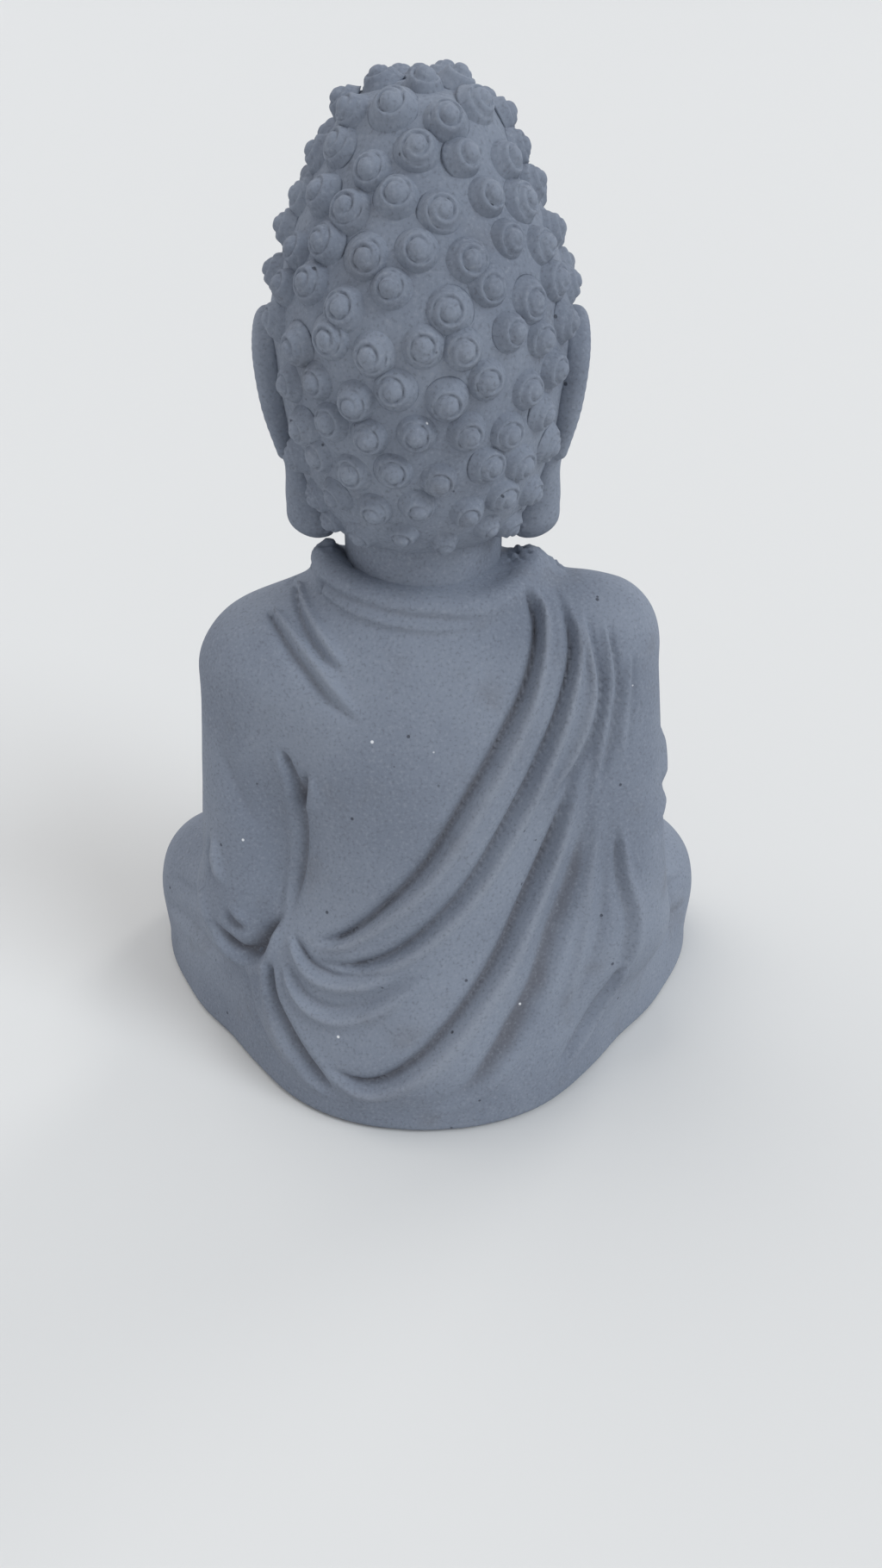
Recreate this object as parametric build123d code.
"""Seated buddha statue: one cement casting, divided into the forms that it was modelled from.

The frame has +Z up, the face towards -Y and the statue's own left hand towards +X. The origin is on the
floor, in the middle of the bounding box. Lengths are in millimetres. The forms meet face to face: each one
is cut back by the forms that it runs into, in the order of the calls at the end of the script.
"""

import os
from math import asin, cos, pi, radians, sin

from build123d import *

os.makedirs("parts", exist_ok=True)

# Driving dimensions.
HEIGHT = 240.0
KNEE_SPAN = 167.0
BASE_DEPTH = 127.0
BASE_THICK = 9.0
EAR_SPAN = 76.0
HEAD_Y = -5.5
NECK_R = 19.8
SHOULDER_Z = 105.0
CURL_R = 4.4
CURL_H = 3.6
CURL_PITCH = 8.6
CURL_SPREAD = 0.015
CURL_ROWS = 13

# Places that follow from them.
HALF_SPAN = KNEE_SPAN / 2
HALF_DEPTH = BASE_DEPTH / 2
CROWN_Z = HEIGHT - CURL_H
NAPE_Z = 0.595 * HEIGHT
CHIN_Z = 0.575 * HEIGHT
COLLAR_Z = 0.537 * HEIGHT
KNEE_R = 22.0
KNEE = Vector(HALF_SPAN - KNEE_R, -22, KNEE_R)
HIP_R = 25.0
HIP = Vector(25, 20, HIP_R + 2)
SHOULDER = Vector(42, -1, SHOULDER_Z)
ELBOW = Vector(48, 18.5, 37)
FOREARM = Vector(49, 12, 46)
WRIST = Vector(18, -38, 54)
SHIN_R = 15.0
ANKLE_R = 12.0
STANDING = (Align.CENTER, Align.CENTER, Align.MIN)


def limb(start, end, start_r, end_r):
    """A round-ended taper between two points."""
    run = end - start
    slope = asin((start_r - end_r) / run.length)
    near = (start_r * cos(slope), start_r * sin(slope))
    far = (end_r * cos(slope), run.length + end_r * sin(slope))
    near_mid = (start_r * cos(slope / 2 - pi / 4), start_r * sin(slope / 2 - pi / 4))
    far_mid = (
        end_r * cos(slope / 2 + pi / 4),
        run.length + end_r * sin(slope / 2 + pi / 4),
    )
    outline = Polyline((0, run.length + end_r), (0, -start_r))
    outline += ThreePointArc((0, -start_r), near_mid, near)
    outline += Line(near, far)
    outline += ThreePointArc(far, far_mid, (0, run.length + end_r))
    face = Plane.XZ * make_face(outline)
    return Plane(start, z_dir=run) * revolve(face, Axis.Z)


def tower(sections):
    """A smooth solid through level ellipses, each (height, centre y, half width, half depth)."""
    faces = [Pos(0, y, z) * Ellipse(wide, deep) for z, y, wide, deep in sections]
    return loft(faces)


def cut_back(shape, *others):
    """The shape with every other form taken out of it."""
    for other in others:
        shape = shape - other
    return shape


def write(name, shape, crumb=0.02):
    """Writes one node, without the solids that are smaller than a share of its largest one."""
    solids = shape.solids()
    largest = max(solid.volume for solid in solids)
    kept = [solid for solid in solids if solid.volume > crumb * largest]
    export_step(kept[0] if len(kept) == 1 else Compound(kept), f"parts/{name}.step")
    return Compound(kept)


# The base and the lower body.


def make_base():
    """The bottom slice of the casting, with the flat face that it stands on."""
    half = [
        (0, HALF_DEPTH),
        (28, HALF_DEPTH - 7),
        (46, HALF_DEPTH - 24),
        (65, HALF_DEPTH - 44),
        (HALF_SPAN - 9, HALF_DEPTH - 62),
        (HALF_SPAN - 2, KNEE.Y - 1),
        (HALF_SPAN - 9, -HALF_DEPTH + 21),
        (HALF_SPAN - 26, -HALF_DEPTH + 9),
        (30, -HALF_DEPTH + 2),
    ]
    other = [(-x, y) for x, y in reversed(half[1:])]
    outline = Spline(*half, (0, -HALF_DEPTH), *other, periodic=True)
    slab = extrude(make_face(outline), BASE_THICK)
    return fillet(slab.edges().group_by(Axis.Z)[0], 2.0)


def make_torso():
    """The robed trunk, wide at the seat and again at the shoulder blades."""
    return tower(
        [
            (BASE_THICK, 21, 50, 41),
            (24, 18, 48, 41),
            (45, 12, 43, 38),
            (70, 7, 41, 35),
            (94, 4, 45, 32),
            (113, 1, 46, 26),
            (122, -1, 38, 22),
            (COLLAR_Z, -4, 24, 18),
        ]
    )


def make_thigh():
    return limb(HIP, KNEE, HIP_R, KNEE_R)


def make_shin(raise_z):
    """The lower leg, from the knee across to the other side, raised where it lies on the other leg."""
    ankle = Vector(-16, -HALF_DEPTH + SHIN_R + 1, SHIN_R + raise_z)
    knee = Vector(KNEE.X - 4, KNEE.Y - 8, SHIN_R + 2 + raise_z / 2)
    return limb(knee, ankle, SHIN_R + 1, ANKLE_R)


def make_foot():
    """A foot that lies sole up on the thigh of the other leg."""
    return Pos(-29, -36, 43) * Rot(0, -10, -24) * scale(Sphere(1), by=(21, 9, 6.5))


def make_lap_cloth():
    """The fan of robe that spreads on the floor between the shins."""
    return Pos(0, -HALF_DEPTH + 13, BASE_THICK) * scale(Sphere(1), by=(30, 11, 9))


# The arms.


def make_upper_arm():
    return limb(SHOULDER, ELBOW, 18, 17)


def make_forearm():
    return limb(FOREARM, WRIST, 12.5, 8)


def make_hand(lift):
    """A cupped hand, palm up, in the middle of the lap."""
    return Pos(0, -41, 51 + lift) * scale(Sphere(1), by=(21, 11, 5.5))


# The head and neck.


def head_outline():
    """Half of the head's outline from the chin to the crown, as radius against height."""
    return Spline(
        (17, CHIN_Z + 3),
        (27.5, 160),
        (32.0, 178),
        (31.6, 198),
        (26.5, 214),
        (18, 228),
        (0, CROWN_Z),
        tangents=((1, 0.75), (-1, 0)),
    )


def make_head():
    """The skull and crown bump that the curls sit on, with a plain face."""
    outline = head_outline()
    closing = Polyline(outline @ 1, (0, CHIN_Z + 3), outline @ 0)
    egg = revolve(Plane.XZ * make_face(outline + closing), Axis.Z)
    nose = limb(Vector(0, -30.5, 181), Vector(0, -32, 164), 1.8, 3.8)
    lips = limb(Vector(-6, -25.5, 154), Vector(6, -25.5, 154), 2.2, 2.2)
    chin = Pos(0, -14, CHIN_Z + 10) * Sphere(11)
    face = egg + nose + lips + chin
    for side in (-1, 1):
        face += Pos(side * 11.5, -24.5, 177) * Sphere(6)
        face += limb(Vector(side * 5, -30.5, 184), Vector(side * 18, -25.5, 185), 1.6, 1.2)
    return Pos(0, HEAD_Y, 0) * face


def make_neck():
    return Pos(0, HEAD_Y, COLLAR_Z - 8) * Cylinder(
        NECK_R, NAPE_Z + 8 - COLLAR_Z, align=STANDING
    )


def make_ear():
    """A long ear with a heavy lobe, from the brow to below the chin."""
    edge = EAR_SPAN / 2
    levels = [
        (0.573 * HEIGHT, edge - 9.5, 5.0, 4.5),
        (0.590 * HEIGHT, edge - 10.5, 6.6, 6.0),
        (0.640 * HEIGHT, edge - 9.6, 5.4, 6.5),
        (0.710 * HEIGHT, edge - 7.0, 5.0, 8.5),
        (0.765 * HEIGHT, edge - 5.0, 5.0, 10.0),
        (0.800 * HEIGHT, edge - 7.0, 3.0, 6.0),
    ]
    return loft([Pos(x, HEAD_Y - 3, z) * Ellipse(a, b) for z, x, a, b in levels])


def make_collar():
    """The rolled neckline of the robe."""
    return Pos(0, HEAD_Y + 1, COLLAR_Z - 2) * Torus(NECK_R + 4.0, 5.0)


# The curls.


def curl():
    """One snail-shell curl, as a round dome with a smaller one on it."""
    lower = Cone(CURL_R, 0.72 * CURL_R, 0.68 * CURL_H)
    upper = Cone(0.62 * CURL_R, 0.3 * CURL_R, 0.32 * CURL_H)
    step = 0.34 * CURL_H
    return lower + Pos(0, 0, step + 0.16 * CURL_H) * upper


def curl_rows():
    """Rows of curls round the head, from the crown to the nape, each a list of placed solids.

    The rows are CURL_PITCH apart at the crown and spread steadily further apart on the way down.
    """
    outline = head_outline()
    shape = curl()
    length = outline.length
    rows = []
    for row in range(CURL_ROWS):
        at = 1 - row * (CURL_PITCH + row * CURL_SPREAD) / length
        point, along = outline @ at, outline % at
        ring = max(1, int(2 * pi * point.X / (CURL_R * 2 + 0.5)))
        out = Vector(along.Y, -along.X)
        if out.X < 0:
            out = out * -1
        placed = []
        for place in range(ring):
            turn = 2 * pi * (place + 0.5 * (row % 2)) / ring
            if not on_hair(turn, point.Y):
                continue
            where = Vector(
                point.X * sin(turn),
                HEAD_Y + point.X * cos(turn),
                point.Y,
            )
            facing = Vector(out.X * sin(turn), out.X * cos(turn), out.Y)
            if ring == 1:
                facing = Vector(0, 0, 1)
            lift = facing.normalized() * (0.34 * CURL_H - 0.6)
            placed.append(Plane(where + lift, z_dir=facing) * shape)
        rows.append(placed)
    return rows


def on_hair(turn, height):
    """Whether a place on the head is behind the hairline and clear of the ears."""
    front = cos(turn)
    if height > 0.87 * HEIGHT:
        return True
    if height > 0.81 * HEIGHT:
        return front > -0.72
    if height > 0.795 * HEIGHT:
        return front > -0.2
    return front > 0.16


# The folds of the robe over the back.

# Seen from behind, each as places (x, z) from the right shoulder to the left hip.
BACK_FOLDS = [
    [(-31, 123), (-30, 104), (-22, 85), (-8, 64), (9, 50), (25, 44)],
    [(-39, 112), (-37, 92), (-28, 71), (-13, 52), (4, 40), (20, 36)],
    [(-40, 80), (-36, 62), (-27, 45), (-14, 31), (2, 21), (19, 15)],
]
FOLD_R = 5.0
FOLD_SUNK = 1.8


def make_fold(points, surface):
    """One rolled fold sunk into a surface's back, as straight runs joined by arcs."""
    path = []
    for x, z in points:
        from_behind = Axis((x, 2 * BASE_DEPTH, z), (0, -1, 0))
        hits = [hit for hit, _ in surface.find_intersection_points(from_behind)]
        path.append(max(hits, key=lambda hit: hit.Y) - Vector(0, FOLD_SUNK, 0))
    radii = []
    for before, corner, after in zip(path, path[1:], path[2:]):
        first, second = corner - before, after - corner
        half_turn = radians(first.get_angle(second)) / 2
        reach = 0.45 * min(first.length, second.length)
        radii.append(reach * cos(half_turn) / sin(half_turn))
    line = FilletPolyline(*path, radius=radii)
    ends = [Pos(line @ at) * Sphere(FOLD_R) for at in (0, 1)]
    section = Plane(line @ 0, z_dir=line % 0) * Circle(FOLD_R)
    return sweep(section, path=line) + ends[0] + ends[1]


# Each form is cut back by the ones written before it that it runs into.

under_base = Pos(0, 0, BASE_THICK - 40) * Box(2 * KNEE_SPAN, 2 * BASE_DEPTH, 40, align=STANDING)

write("base", make_base())
neck = write("neck", make_neck())
head = write("head", cut_back(make_head(), neck))
collar = write("robe_collar", cut_back(make_collar(), neck))
torso = write("torso", cut_back(make_torso(), neck, collar))

folds = []
for number, points in enumerate(BACK_FOLDS, 1):
    fold = cut_back(make_fold(points, torso), torso, collar, under_base, *folds)
    folds.append(write(f"back_fold_{number:02d}", fold))

legs = []
for side in ("left", "right"):
    thigh = make_thigh() if side == "left" else mirror(make_thigh(), Plane.YZ)
    legs.append(write(f"thigh_{side}", cut_back(thigh, under_base, torso, *folds, *legs)))
for side, raised in (("left", 0), ("right", 13)):
    shin = make_shin(raised) if side == "left" else mirror(make_shin(raised), Plane.YZ)
    legs.append(write(f"shin_{side}", cut_back(shin, under_base, torso, *legs)))
for side in ("left", "right"):
    foot = make_foot() if side == "left" else mirror(make_foot(), Plane.YZ)
    legs.append(write(f"foot_{side}", cut_back(foot, torso, *legs)))
write("lap_cloth", cut_back(make_lap_cloth(), under_base, torso, *legs))

arms = []
for side, lift in (("left", 0), ("right", 7)):
    arms.append(write(f"hand_{side}", cut_back(make_hand(lift), torso, *legs, *arms)))
for part, make in (("forearm", make_forearm), ("arm", make_upper_arm)):
    for side in ("left", "right"):
        form = make() if side == "left" else mirror(make(), Plane.YZ)
        form = cut_back(form, torso, collar, *folds, *legs, *arms)
        arms.append(write(f"{part}_{side}", form, crumb=0.5))

ears = []
for side in ("left", "right"):
    ear = make_ear() if side == "left" else mirror(make_ear(), Plane.YZ)
    ears.append(write(f"ear_{side}", cut_back(ear, head, neck, collar)))
for number, row in enumerate(curl_rows(), 1):
    seated = [cut_back(one, head, *ears) for one in row]
    write(f"curl_row_{number:02d}", Compound(seated))
